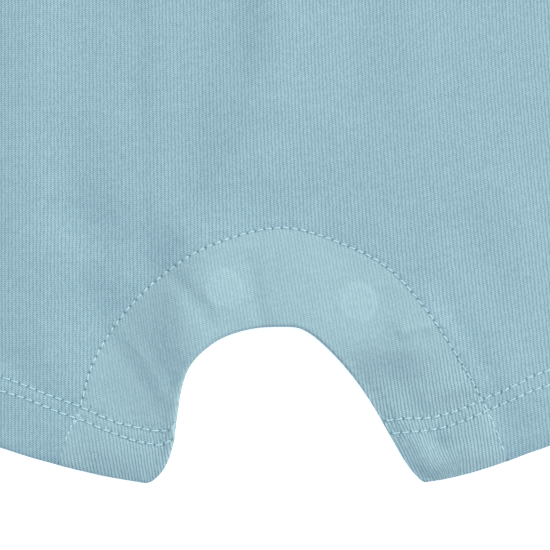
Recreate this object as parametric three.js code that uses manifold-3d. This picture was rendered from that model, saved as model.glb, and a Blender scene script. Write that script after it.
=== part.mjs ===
// Short romper for a baby of 6 to 9 months, in cotton jersey, laid flat on its back.
//
// Millimetres. X runs across the garment, Y from the crotch up to the neck, Z up from
// the surface that the back lies on. The garment is drawn with Y = 0 at the crotch and
// is then moved so that the origin is the middle of its footprint.
//
// Every piece of cloth is a wall: a grid of points under it and one over it, cut to the
// outline of the piece. The front lies on the back, and its folds lift off it.

import * as THREE from 'three';
import { mergeVertices } from 'three/addons/utils/BufferGeometryUtils.js';
import Module from 'manifold-3d';

const wasm = await Module();
wasm.setup();

// ---------------------------------------------------------------- driving dimensions

const CLOTH = 1.2; // one layer of jersey
const TURNING = 0.7; // what a turned hem or a doubled band adds to it
const SEAM_GAP = 0.3; // between pieces that are sewn or lie together
const DOUBLE = CLOTH + TURNING;

const HEM_DEPTH = 16; // turned hem of a leg or a sleeve
const HEM_STEP = 1.5; // the hem's raw edge falls away over this

const NECK_BAND = 13; // height of the rib band at the neck
const NECK_HALF = 57; // middle to the neck end of the shoulder seam
const NECK_HEIGHT = 368; // crotch to the neck end of the shoulder seam
const FRONT_NECK_DROP = 48;
const BACK_NECK_DROP = 14;
const SHOULDER = { x: 103, y: 350 }; // outer end of the shoulder seam

const SLEEVE_LENGTH = 78; // along its upper fold
const SLEEVE_FALL = 22; // degrees below level
const CUFF_WIDTH = 76; // laid flat

const NECK_RISE = 5; // the band's free edge ends this much over the shoulder seam
const NECK_FOLD = 2; // width of the fold that joins the band's two halves
const NECK_STEPS = 20;

const SNAPS = [
  { side: 'left', x: -16.5, y: 9.5 },
  { side: 'right', x: 17.8, y: 6.2 },
];
const SNAP_RADIUS = 5;
const SNAP_SIDES = 20;
const SNAP_WEB = 0.8; // cloth left over a snap
const PLATE = 0.5; // thickness of a stud's plate
const SOCKET_HEIGHT = 1.1;
const POST_RADIUS = 2.2;
const POST_SHORT = 0.1; // the post ends this far under the top of its socket
const STUD_LOW = SNAP_WEB + SEAM_GAP;
const SOCKET_LOW = STUD_LOW + PLATE + SEAM_GAP;
const SOCKET_TOP = SOCKET_LOW + SOCKET_HEIGHT;

const FOLD_MARGIN = 16; // folds die out this far from a sewn edge
const ARCH_MARGIN = 24; // the front comes down from its doubled band over this
const CLEAR = 8; // how far a grid or a cut runs past the piece it makes
const OVER_ALL = 40; // higher than any piece

// Crotch edge, from the inner corner of the left leg, over the crotch, to the right one.
const CROTCH_EDGE = [
  { x: -36.3, y: -40.5 },
  { x: -34.4, y: -39.7 },
  { x: -31.5, y: -36.4 },
  { x: -29.5, y: -30.7 },
  { x: -28.6, y: -24.0 },
  { x: -27.1, y: -15.2 },
  { x: -24.2, y: -9.0 },
  { x: -17.7, y: -3.4 },
  { x: -9.5, y: -0.6 },
  { x: -1.0, y: 0.0 },
  { x: 4.0, y: -0.7 },
  { x: 9.2, y: -4.4 },
  { x: 16.0, y: -11.6 },
  { x: 22.0, y: -19.9 },
  { x: 27.3, y: -29.2 },
  { x: 31.5, y: -36.2 },
  { x: 34.9, y: -40.0 },
  { x: 36.2, y: -40.5 },
];

// Leg hem folds, from the inner corner out to the side seam.
const LEFT_HEM = [
  { x: -36.3, y: -40.5 },
  { x: -48.2, y: -38.2 },
  { x: -61.1, y: -34.9 },
  { x: -74.0, y: -30.9 },
  { x: -110.0, y: -18.6 },
  { x: -150.0, y: -4.0 },
];
const RIGHT_HEM = [
  { x: 36.2, y: -40.5 },
  { x: 47.2, y: -37.6 },
  { x: 57.5, y: -34.3 },
  { x: 67.6, y: -30.6 },
  { x: 108.0, y: -17.4 },
  { x: 150.0, y: -4.0 },
];

// Seam between a body and its crotch band, from the left hem, over the arch, to the right.
const ARCH_SEAM = [
  { x: -60.0, y: -46.0 },
  { x: -59.1, y: -35.4 },
  { x: -56.2, y: -27.2 },
  { x: -53.4, y: -19.0 },
  { x: -50.6, y: -9.2 },
  { x: -44.0, y: 1.8 },
  { x: -33.5, y: 12.7 },
  { x: -19.9, y: 21.3 },
  { x: -0.8, y: 26.0 },
  { x: 17.5, y: 20.5 },
  { x: 28.4, y: 13.7 },
  { x: 38.6, y: 1.7 },
  { x: 47.6, y: -11.5 },
  { x: 54.6, y: -25.2 },
  { x: 57.3, y: -34.8 },
  { x: 59.6, y: -46.0 },
];

// Half width of the body at a height, from the leg hem to the underarm.
const SIDE_SEAM = [
  { y: -4, x: 150 },
  { y: 24, x: 143.5 },
  { y: 66, x: 136.5 },
  { y: 126, x: 129.5 },
  { y: 190, x: 124 },
  { y: 255, x: 121 },
];

// Armhole seam, from the underarm to the shoulder.
const ARMHOLE = [
  { x: 121, y: 255 },
  { x: 109, y: 262 },
  { x: 101.5, y: 283 },
  { x: 99.5, y: 310 },
  { x: 100.5, y: 332 },
  SHOULDER,
];

// Soft folds of the front: from one end to the other, with half width and height.
const FOLDS = [
  { x0: -64, y0: 168, x1: -66, y1: 12, width: 12, height: 2.0 },
  { x0: -19, y0: 196, x1: -24, y1: 62, width: 10, height: 1.5 },
  { x0: 30, y0: 186, x1: 18, y1: 66, width: 18, height: 1.4 },
  { x0: 96, y0: 228, x1: 60, y1: 148, width: 12, height: 3.0 },
  { x0: -97, y0: 236, x1: -72, y1: 182, width: 10, height: 2.8 },
  { x0: 104, y0: 122, x1: 88, y1: 6, width: 12, height: 2.3 },
  { x0: -112, y0: 96, x1: -98, y1: 2, width: 11, height: 2.6 },
  { x0: 16, y0: 296, x1: 38, y1: 232, width: 13, height: 1.9 },
  { x0: -44, y0: 288, x1: -16, y1: 240, width: 12, height: 2.2 },
  { x0: 58, y0: 322, x1: 74, y1: 286, width: 10, height: 1.8 },
];

const LEFT_SLEEVE_FOLDS = [
  { x0: -116, y0: 306, x1: -148, y1: 300, width: 8, height: 1.7 },
  { x0: -126, y0: 270, x1: -150, y1: 272, width: 6, height: 1.3 },
];
const RIGHT_SLEEVE_FOLDS = [
  { x0: 118, y0: 318, x1: 146, y1: 290, width: 8, height: 1.9 },
  { x0: 132, y0: 266, x1: 152, y1: 276, width: 6, height: 1.2 },
];

// Grid lines of the pieces: across from the middle, and up from the hem of the leg. The
// back lies flat, so only the edge of its hem needs lines.
const FRONT_GRID = {
  columns: bothSides([4, 12, 20, 28, 36, 44, 52, 60, 68, 76, 84, 98, 112, 126, 140, 158]),
  rows: [
    -CLEAR, 2, 9, HEM_DEPTH, HEM_DEPTH + HEM_STEP, 25, 34, 43, 52, 61, 70, 80, 91, 104, 118,
    134, 150, 168, 186, 204, 222, 240, 258, 276, 294, 312, 330, 348, 366, 384, 402, 430,
  ],
};
const BACK_GRID = {
  columns: bothSides([18, 36, 54, 72, 90, 108, 128, 158]),
  rows: [-CLEAR, HEM_DEPTH, HEM_DEPTH + HEM_STEP, 430],
};
const FRONT_BAND_GRID = {
  columns: bothSides([2.5, 7.5, 12.5, 17.5, 22.5, 27.5, 32.5, 37.5, 42.5, 48, 54, 64]),
  rows: [-CLEAR, 2, 8, 14, 20, 26, 32, 38, 44, 50, 56, 62, 70],
};
const BACK_BAND_GRID = { columns: bothSides([64]), rows: [-CLEAR, 80] };

// Grid lines of a sleeve: out along it, and up across it to its fold.
const SLEEVE_COLUMNS = [-20, -8, 4, 14, 24, 34, 44, 53, 60.5, SLEEVE_LENGTH - HEM_DEPTH, 70, 88];
const SLEEVE_ROWS = [-100, -88, -80, -72, -64, -56, -48, -40, -32, -24, -16, -8, 8];

// ---------------------------------------------------------------- materials

const jersey = new THREE.MeshStandardMaterial({ color: 0x9cbcc8, roughness: 0.92, metalness: 0 });
const bandJersey = new THREE.MeshStandardMaterial({ color: 0xa4c4ce, roughness: 0.92, metalness: 0 });
const rib = new THREE.MeshStandardMaterial({ color: 0x98b8c5, roughness: 0.95, metalness: 0 });
const snapMetal = new THREE.MeshStandardMaterial({ color: 0xb9bcc0, roughness: 0.35, metalness: 1 });

// ---------------------------------------------------------------- small helpers

function bothSides(distances) {
  return [...distances.map((d) => -d).reverse(), ...distances];
}

function rise(from, to, value) {
  return THREE.MathUtils.smoothstep(value, from, to);
}

// A smooth curve through the rows of a table, as points.
function curveThrough(table, pointsPerRow) {
  const curve = new THREE.SplineCurve(table.map((row) => new THREE.Vector2(row.x, row.y)));
  return curve.getPoints((table.length - 1) * pointsPerRow);
}

function mirrored(points) {
  return points.map((p) => new THREE.Vector2(-p.x, p.y)).reverse();
}

// The value of one column of a curve's points at a value of the other, or at its end.
function readCurve(points, from, to, value) {
  const sorted = [...points].sort((a, b) => a[from] - b[from]);
  if (value <= sorted[0][from]) return sorted[0][to];
  for (let i = 1; i < sorted.length; i += 1) {
    if (value <= sorted[i][from]) {
      const share = (value - sorted[i - 1][from]) / (sorted[i][from] - sorted[i - 1][from]);
      return THREE.MathUtils.lerp(sorted[i - 1][to], sorted[i][to], share);
    }
  }
  return sorted[sorted.length - 1][to];
}

function distanceToCurve(points, x, y) {
  let nearest = Infinity;
  for (let i = 1; i < points.length; i += 1) {
    nearest = Math.min(nearest, distanceToSegment(points[i - 1], points[i], x, y));
  }
  return nearest;
}

function distanceToSegment(a, b, x, y) {
  const dx = b.x - a.x;
  const dy = b.y - a.y;
  const along = ((x - a.x) * dx + (y - a.y) * dy) / (dx * dx + dy * dy);
  const held = THREE.MathUtils.clamp(along, 0, 1);
  return Math.hypot(x - a.x - held * dx, y - a.y - held * dy);
}

// Points of an open curve moved to its left by a distance.
function offsetCurve(points, distance) {
  return points.map((point, i) => {
    const before = points[Math.max(i - 1, 0)];
    const after = points[Math.min(i + 1, points.length - 1)];
    const along = new THREE.Vector2().subVectors(after, before).normalize();
    return new THREE.Vector2(point.x - along.y * distance, point.y + along.x * distance);
  });
}

// ---------------------------------------------------------------- solids

function toManifold(geometry) {
  geometry.deleteAttribute('normal');
  geometry.deleteAttribute('uv');
  const merged = mergeVertices(geometry);
  return new wasm.Manifold(new wasm.Mesh({
    numProp: 3,
    vertProperties: new Float32Array(merged.attributes.position.array),
    triVerts: new Uint32Array(merged.index.array),
  }));
}

function toMesh(name, solid, material) {
  const { vertProperties, triVerts } = solid.getMesh();
  const geometry = new THREE.BufferGeometry();
  geometry.setAttribute('position', new THREE.BufferAttribute(vertProperties, 3));
  geometry.setIndex(new THREE.BufferAttribute(triVerts, 1));
  geometry.computeVertexNormals();
  const mesh = new THREE.Mesh(geometry, material);
  mesh.name = name;
  return mesh;
}

// A straight-sided block on a flat outline.
function block(points, low, high) {
  const outline = THREE.ShapeUtils.isClockWise(points) ? [...points].reverse() : points;
  const options = { depth: high - low, bevelEnabled: false };
  const geometry = new THREE.ExtrudeGeometry(new THREE.Shape(outline), options);
  return toManifold(geometry.translate(0, 0, low));
}

// A wall between two surfaces over a grid. place gives a grid point its x and y, and
// lower and upper give the heights of the wall there.
function wall(columns, rows, place, lower, upper) {
  const positions = [];
  for (const surface of [lower, upper]) {
    for (const row of rows) {
      for (const column of columns) {
        const { x, y } = place(column, row);
        positions.push(x, y, surface(x, y, column, row));
      }
    }
  }
  const across = columns.length;
  const layer = across * rows.length;
  const index = [];
  const quad = (a, b, c, d) => index.push(a, b, c, a, c, d);
  for (let j = 0; j < rows.length - 1; j += 1) {
    for (let i = 0; i < across - 1; i += 1) {
      const a = j * across + i;
      quad(a, a + across, a + across + 1, a + 1);
      quad(layer + a, layer + a + 1, layer + a + across + 1, layer + a + across);
    }
  }
  const rim = (a, b) => quad(a, b, layer + b, layer + a);
  for (let i = 0; i < across - 1; i += 1) {
    rim(i, i + 1);
    rim(layer - across + i + 1, layer - across + i);
  }
  for (let j = 0; j < rows.length - 1; j += 1) {
    rim((j + 1) * across, j * across);
    rim((j + 1) * across - 1, (j + 2) * across - 1);
  }
  const geometry = new THREE.BufferGeometry();
  geometry.setAttribute('position', new THREE.Float32BufferAttribute(positions, 3));
  geometry.setIndex(index);
  return toManifold(geometry);
}

// ---------------------------------------------------------------- curves of the garment

const crotchEdge = curveThrough(CROTCH_EDGE, 2);
const archSeam = curveThrough(ARCH_SEAM, 2);
const leftHem = curveThrough(LEFT_HEM, 3);
const rightHem = curveThrough(RIGHT_HEM, 3);
const sideSeam = curveThrough(SIDE_SEAM, 2);
const armhole = curveThrough(ARMHOLE, 2);
const hemLine = [...leftHem, ...rightHem];

// A neckline is a half ellipse from one shoulder seam to the other.
function neckline(drop, steps, half = NECK_HALF, height = NECK_HEIGHT) {
  return new THREE.EllipseCurve(0, height, half, drop, 0, Math.PI, true).getPoints(steps);
}

function hemHeight(x) {
  return readCurve(hemLine, 'x', 'y', x);
}

// Half outline of a body on the right, from the leg hem up to the shoulder.
const rightSide = [...sideSeam, ...armhole.slice(1)];

function bodyOutline(neckDrop) {
  return [
    ...rightHem,
    ...rightSide.slice(1),
    ...neckline(neckDrop, NECK_STEPS),
    ...mirrored(rightSide).slice(0, -1),
    ...[...leftHem].reverse(),
  ];
}

// The gap between the legs, closed below the hems.
const notch = [
  new THREE.Vector2(crotchEdge[0].x, crotchEdge[0].y - CLEAR),
  ...crotchEdge,
  new THREE.Vector2(crotchEdge[crotchEdge.length - 1].x, crotchEdge[0].y - CLEAR),
];

// ---------------------------------------------------------------- heights of the cloth

// 1 in the turned hem of a leg and 0 above it; up is the height over the hem's fold.
function legHem(up) {
  return 1 - rise(HEM_DEPTH, HEM_DEPTH + HEM_STEP, up);
}

function ridges(folds, x, y) {
  let lift = 0;
  for (const fold of folds) {
    const a = { x: fold.x0, y: fold.y0 };
    const b = { x: fold.x1, y: fold.y1 };
    lift += fold.height * Math.exp(-((distanceToSegment(a, b, x, y) / fold.width) ** 2));
  }
  return lift;
}

function foldLift(x, y) {
  const fromSide = readCurve(rightSide, 'y', 'x', y) - Math.abs(x);
  const underNeck = NECK_HEIGHT - FRONT_NECK_DROP - y;
  const held = rise(0, FOLD_MARGIN, fromSide) * rise(-FOLD_MARGIN, FOLD_MARGIN, underNeck);
  return ridges(FOLDS, x, y) * held;
}

const ground = () => 0;
const backTop = (x, y, column, up) => CLOTH + TURNING * legHem(up);
const backBandTop = () => DOUBLE;

function frontBottom(x, y, column, up) {
  const nearBand = 1 - rise(0, ARCH_MARGIN, distanceToCurve(archSeam, x, y));
  const under = CLOTH + TURNING * Math.max(legHem(up), nearBand);
  return under + SEAM_GAP + foldLift(x, y);
}

function frontTop(x, y, column, up) {
  return frontBottom(x, y, column, up) + CLOTH + TURNING * legHem(up);
}

const frontBandBottom = (x, y) => DOUBLE + SEAM_GAP + foldLift(x, y);
const frontBandTop = (x, y) => frontBandBottom(x, y) + DOUBLE;

// ---------------------------------------------------------------- body and crotch bands

const overHem = (x, up) => ({ x, y: hemHeight(x) + up });

function body(grid, neckDrop, lower, upper) {
  const sheet = wall(grid.columns, grid.rows, overHem, lower, upper);
  const cut = sheet.intersect(block(bodyOutline(neckDrop), -CLEAR, OVER_ALL));
  return cut.subtract(block(offsetCurve(archSeam, SEAM_GAP / 2), -CLEAR, OVER_ALL));
}

function band(grid, lower, upper) {
  const sheet = wall(grid.columns, grid.rows, overHem, lower, upper);
  const inArch = sheet.intersect(block(offsetCurve(archSeam, -SEAM_GAP / 2), -CLEAR, OVER_ALL));
  const hemmed = inArch.intersect(block(bodyOutline(FRONT_NECK_DROP), -CLEAR, OVER_ALL));
  return hemmed.subtract(block(notch, -CLEAR, OVER_ALL));
}

// ---------------------------------------------------------------- snaps

// A solid turned about an upright axis at x and y, from pairs of radius and height.
function turned(profile, x, y) {
  const points = profile.map(([radius, height]) => new THREE.Vector2(radius, height));
  const geometry = new THREE.LatheGeometry(points, SNAP_SIDES);
  return toManifold(geometry.rotateX(Math.PI / 2).translate(x, y, 0));
}

function snapPocket({ x, y }, low, high) {
  const radius = SNAP_RADIUS + SEAM_GAP;
  return turned([[0, low], [radius, low], [radius, high], [0, high]], x, y);
}

function snapStud({ x, y }) {
  return turned([
    [0, STUD_LOW],
    [SNAP_RADIUS, STUD_LOW],
    [SNAP_RADIUS, STUD_LOW + PLATE],
    [POST_RADIUS, STUD_LOW + PLATE],
    [POST_RADIUS, SOCKET_TOP - POST_SHORT],
    [0, SOCKET_TOP - POST_SHORT],
  ], x, y);
}

function snapSocket({ x, y }) {
  const inner = POST_RADIUS + SEAM_GAP;
  return turned([
    [inner, SOCKET_LOW],
    [SNAP_RADIUS, SOCKET_LOW],
    [SNAP_RADIUS, SOCKET_TOP],
    [inner, SOCKET_TOP],
    [inner, SOCKET_LOW],
  ], x, y);
}

// ---------------------------------------------------------------- sleeves

const fall = THREE.MathUtils.degToRad(SLEEVE_FALL);
const down = { x: -Math.sin(fall), y: -Math.cos(fall) };
const out = { x: Math.cos(fall), y: -Math.sin(fall) };

// A point of the right sleeve: out along it from the shoulder, and across it from its fold.
function onSleeve(along, across) {
  return new THREE.Vector2(
    SHOULDER.x + along * out.x + across * down.x,
    SHOULDER.y + along * out.y + across * down.y,
  );
}

function sleeve(side, folds) {
  const toSide = (p) => new THREE.Vector2(side * p.x, p.y);
  const cuffTop = onSleeve(SLEEVE_LENGTH, 0);
  const cuffEnd = onSleeve(SLEEVE_LENGTH, CUFF_WIDTH);
  const seam = offsetCurve(armhole, -SEAM_GAP);
  const outline = [...seam, cuffTop, cuffEnd].map(toSide);
  const sewn = [cuffEnd, ...seam, cuffTop].map(toSide);

  // The hollow between the two layers, open at the cuff and at the armhole.
  const away = new THREE.Vector2().subVectors(cuffEnd, seam[0]).normalize();
  const into = { x: -away.y * CLOTH, y: away.x * CLOTH };
  const hollowEdge = (p, run) => new THREE.Vector2(
    p.x + into.x + away.x * run,
    p.y + into.y + away.y * run,
  );
  const hollow = [
    onSleeve(-SLEEVE_LENGTH, CLOTH),
    onSleeve(SLEEVE_LENGTH + CLEAR, CLOTH),
    hollowEdge(cuffEnd, CLEAR),
    hollowEdge(seam[0], -SLEEVE_LENGTH),
  ].map(toSide);

  const columns = side > 0 ? SLEEVE_COLUMNS : [...SLEEVE_COLUMNS].reverse();
  const place = (along, up) => toSide(onSleeve(along, -up));
  const turning = (along) => TURNING * rise(-HEM_STEP, 0, along - SLEEVE_LENGTH + HEM_DEPTH);
  const lift = (x, y) => ridges(folds, x, y) * rise(0, FOLD_MARGIN, distanceToCurve(sewn, x, y));
  const hollowLow = (x, y, along) => CLOTH + turning(along);
  const hollowTop = (x, y, along) => hollowLow(x, y, along) + SEAM_GAP + lift(x, y);
  const top = (x, y, along) => hollowTop(x, y, along) + CLOTH + turning(along);

  const whole = wall(columns, SLEEVE_ROWS, place, ground, top);
  const between = wall(columns, SLEEVE_ROWS, place, hollowLow, hollowTop);
  const tube = whole.intersect(block(outline, -CLEAR, OVER_ALL));
  return tube.subtract(between.intersect(block(hollow, -CLEAR, OVER_ALL)));
}

// ---------------------------------------------------------------- neckband

// Half of the rib band: between the seam and the band's free edge, on one body.
function neckbandOutline(drop) {
  const seam = neckline(drop - SEAM_GAP, NECK_STEPS, NECK_HALF - SEAM_GAP, NECK_HEIGHT);
  const edgeDrop = drop - NECK_BAND + NECK_RISE;
  const edge = neckline(edgeDrop, NECK_STEPS, NECK_HALF - NECK_BAND, NECK_HEIGHT + NECK_RISE);
  return [...seam, ...edge.reverse()];
}

function neckband() {
  const front = neckbandOutline(FRONT_NECK_DROP);
  const back = neckbandOutline(BACK_NECK_DROP);
  const top = 2 * DOUBLE + SEAM_GAP;
  let ring = block(front, DOUBLE + SEAM_GAP, top).add(block(back, 0, DOUBLE));
  const both = block(front, 0, top).intersect(block(back, 0, top));
  for (const side of [-1, 1]) {
    const end = [
      new THREE.Vector2(side * (NECK_HALF - NECK_BAND - 1), NECK_HEIGHT + NECK_RISE + 1),
      new THREE.Vector2(side * (NECK_HALF - NECK_BAND - 1), NECK_HEIGHT + NECK_RISE - NECK_FOLD),
      new THREE.Vector2(side * (NECK_HALF + 1), NECK_HEIGHT - NECK_FOLD),
      new THREE.Vector2(side * (NECK_HALF + 1), NECK_HEIGHT + 1),
    ];
    ring = ring.add(both.intersect(block(end, 0, top)));
  }
  return ring;
}

// ---------------------------------------------------------------- the romper

let frontBand = band(FRONT_BAND_GRID, frontBandBottom, frontBandTop);
let backBand = band(BACK_BAND_GRID, ground, backBandTop);
for (const snap of SNAPS) {
  frontBand = frontBand.subtract(snapPocket(snap, DOUBLE, SOCKET_TOP + SEAM_GAP));
  backBand = backBand.subtract(snapPocket(snap, SNAP_WEB, DOUBLE + SEAM_GAP));
}

const romper = new THREE.Group();
romper.add(
  toMesh('front_body', body(FRONT_GRID, FRONT_NECK_DROP, frontBottom, frontTop), jersey),
  toMesh('back_body', body(BACK_GRID, BACK_NECK_DROP, ground, backTop), jersey),
  toMesh('crotch_band_front', frontBand, bandJersey),
  toMesh('crotch_band_back', backBand, bandJersey),
  toMesh('sleeve_left', sleeve(-1, LEFT_SLEEVE_FOLDS), jersey),
  toMesh('sleeve_right', sleeve(1, RIGHT_SLEEVE_FOLDS), jersey),
  toMesh('neckband', neckband(), rib),
);
for (const snap of SNAPS) {
  romper.add(toMesh(`snap_socket_${snap.side}`, snapSocket(snap), snapMetal));
  romper.add(toMesh(`snap_stud_${snap.side}`, snapStud(snap), snapMetal));
}

const box = new THREE.Box3().setFromObject(romper);
romper.position.y = -(box.min.y + box.max.y) / 2;

export default romper;
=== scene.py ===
import math

import bpy
import numpy as np
from bpy.props import FloatProperty, FloatVectorProperty, IntProperty, PointerProperty
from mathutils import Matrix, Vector
from mathutils.geometry import delaunay_2d_cdt
from mathutils.kdtree import KDTree


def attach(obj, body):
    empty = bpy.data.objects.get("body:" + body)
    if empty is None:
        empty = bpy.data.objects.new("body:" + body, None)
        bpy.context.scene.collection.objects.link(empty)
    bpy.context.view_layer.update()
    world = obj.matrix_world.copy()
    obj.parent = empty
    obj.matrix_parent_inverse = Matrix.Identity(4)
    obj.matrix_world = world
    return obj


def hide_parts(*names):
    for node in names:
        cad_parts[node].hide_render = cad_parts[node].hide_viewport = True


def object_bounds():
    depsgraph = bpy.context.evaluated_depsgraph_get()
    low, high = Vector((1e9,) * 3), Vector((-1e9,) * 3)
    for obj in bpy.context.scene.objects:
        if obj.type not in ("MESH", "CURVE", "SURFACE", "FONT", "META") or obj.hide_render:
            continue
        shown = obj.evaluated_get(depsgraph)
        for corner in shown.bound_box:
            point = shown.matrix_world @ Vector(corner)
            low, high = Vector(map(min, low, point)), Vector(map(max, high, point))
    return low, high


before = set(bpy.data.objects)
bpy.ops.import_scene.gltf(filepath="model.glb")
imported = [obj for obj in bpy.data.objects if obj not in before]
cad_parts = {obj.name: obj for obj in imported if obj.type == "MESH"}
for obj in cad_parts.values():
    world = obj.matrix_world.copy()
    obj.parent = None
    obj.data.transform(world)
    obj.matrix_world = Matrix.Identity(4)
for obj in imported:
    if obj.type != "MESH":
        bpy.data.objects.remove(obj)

bl_info = {
    "name": "Short romper",
    "version": (1, 0, 0),
    "blender": (4, 5, 0),
    "location": "View3D > Sidebar > Romper",
    "description": "A baby's short romper in cotton jersey, laid flat, with its knit and stitching",
    "category": "Add Mesh",
}

# The pattern is drawn in millimetres, with y = 0 at the crotch and z = 0 on the surface.
MM = 0.001
CAD_BOX = [list(corner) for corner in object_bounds()]
LEG_CORNER = 40.5  # the inner corners of the leg hems lie this far below the crotch
CROTCH_Y = CAD_BOX[0][1] + LEG_CORNER * MM

# -------------------- the pattern

CLOTH = 1.2  # one layer
TURNING = 0.7  # what a turned hem or a doubled band adds
DOUBLE = CLOTH + TURNING
LAYER_GAP = 0.3  # between the front and the back
HEM_DEPTH = 16.0

NECK_HALF, NECK_HEIGHT, NECK_BAND, NECK_RISE = 57.0, 368.0, 13.0, 5.0
FRONT_NECK_DROP, BACK_NECK_DROP = 48.0, 14.0
SHOULDER = (103.0, 350.0)
SLEEVE_LENGTH, SLEEVE_FALL, CUFF_WIDTH = 78.0, math.radians(22), 76.0
SNAPS = ((-16.5, 9.5), (17.8, 6.2))
SNAP_RADIUS = 5.0
SNAP_WEB, SOCKET_TOP = 0.8, 3.0  # cloth under a stud, and the top of a socket
SNAP_LIFT = 0.5
SNAP_RING, RING_DEPTH, RING_WIDTH = 3.2, 0.12, 0.5  # the prongs' ring, seen through the cloth

# Crotch edge, from the inner corner of the left leg, over the crotch, to the right one.
CROTCH_EDGE = (
    (-36.3, -40.5), (-34.4, -39.7), (-31.5, -36.4), (-29.5, -30.7), (-28.6, -24.0),
    (-27.1, -15.2), (-24.2, -9.0), (-17.7, -3.4), (-9.5, -0.6), (-1.0, 0.0), (4.0, -0.7),
    (9.2, -4.4), (16.0, -11.6), (22.0, -19.9), (27.3, -29.2), (31.5, -36.2), (34.9, -40.0),
    (36.2, -40.5),
)
# Leg hem folds, from the inner corner out to the side seam.
LEFT_HEM = (
    (-36.3, -40.6), (-48.2, -38.6), (-61.1, -35.35), (-74.0, -31.4), (-110.0, -18.9),
    (-150.0, -4.0),
)
RIGHT_HEM = (
    (36.2, -40.6), (47.2, -38.1), (57.5, -34.8), (67.6, -31.1), (108.0, -17.7), (150.0, -4.0),
)
# Seam between a body and its crotch band, from the left hem over the arch to the right.
ARCH_SEAM = (
    (-60.0, -46.0), (-59.1, -35.4), (-56.2, -27.2), (-53.4, -19.0), (-50.6, -9.2),
    (-44.0, 1.8), (-33.5, 12.7), (-19.9, 21.3), (-0.8, 26.0), (17.5, 20.5), (28.4, 13.7),
    (38.1, 1.7), (46.6, -11.5), (53.7, -25.2), (57.1, -34.8), (59.6, -46.0),
)
# Right side seam from the hem to the underarm, and the armhole from there to the shoulder.
SIDE_SEAM = (
    (150.0, -4.0), (143.5, 24.0), (136.5, 66.0), (129.5, 126.0), (124.0, 190.0), (121.0, 255.0),
)
ARMHOLE = (
    (121.0, 255.0), (109.0, 262.0), (101.5, 283.0), (99.5, 310.0), (100.5, 332.0), SHOULDER,
)
# The twin-needle rows of the leg hems, from the crotch edge out to the side seam.
HEM_ROWS = (
    ((-28.8, -24.8), (-29.9, -26.3), (-32.5, -26.8), (-35.1, -26.6), (-40.5, -25.5),
     (-45.2, -24.3), (-53.7, -20.6), (-62.0, -17.5), (-74.0, -12.9), (-110.0, -1.2),
     (-149.2, 12.9)),
    ((-29.7, -29.0), (-32.8, -30.4), (-36.1, -29.9), (-39.7, -29.2), (-47.0, -26.6),
     (-51.3, -24.8), (-58.6, -22.2), (-66.8, -18.8), (-74.0, -16.5), (-110.0, -5.2),
     (-149.4, 8.9)),
    ((25.4, -24.5), (31.0, -23.7), (36.6, -23.6), (42.1, -22.2), (46.7, -20.4),
     (51.2, -18.3), (55.2, -16.8), (60.4, -14.4), (67.9, -11.2), (108.0, 0.4),
     (149.2, 12.9)),
    ((27.0, -27.7), (31.2, -27.3), (37.7, -26.6), (42.1, -25.5), (46.7, -23.7),
     (51.2, -21.7), (55.7, -19.9), (60.4, -17.8), (67.9, -15.0), (108.0, -3.6),
     (149.4, 8.9)),
)
ROW_START = 0.35  # the row round the arch runs this far inside its seam

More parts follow.
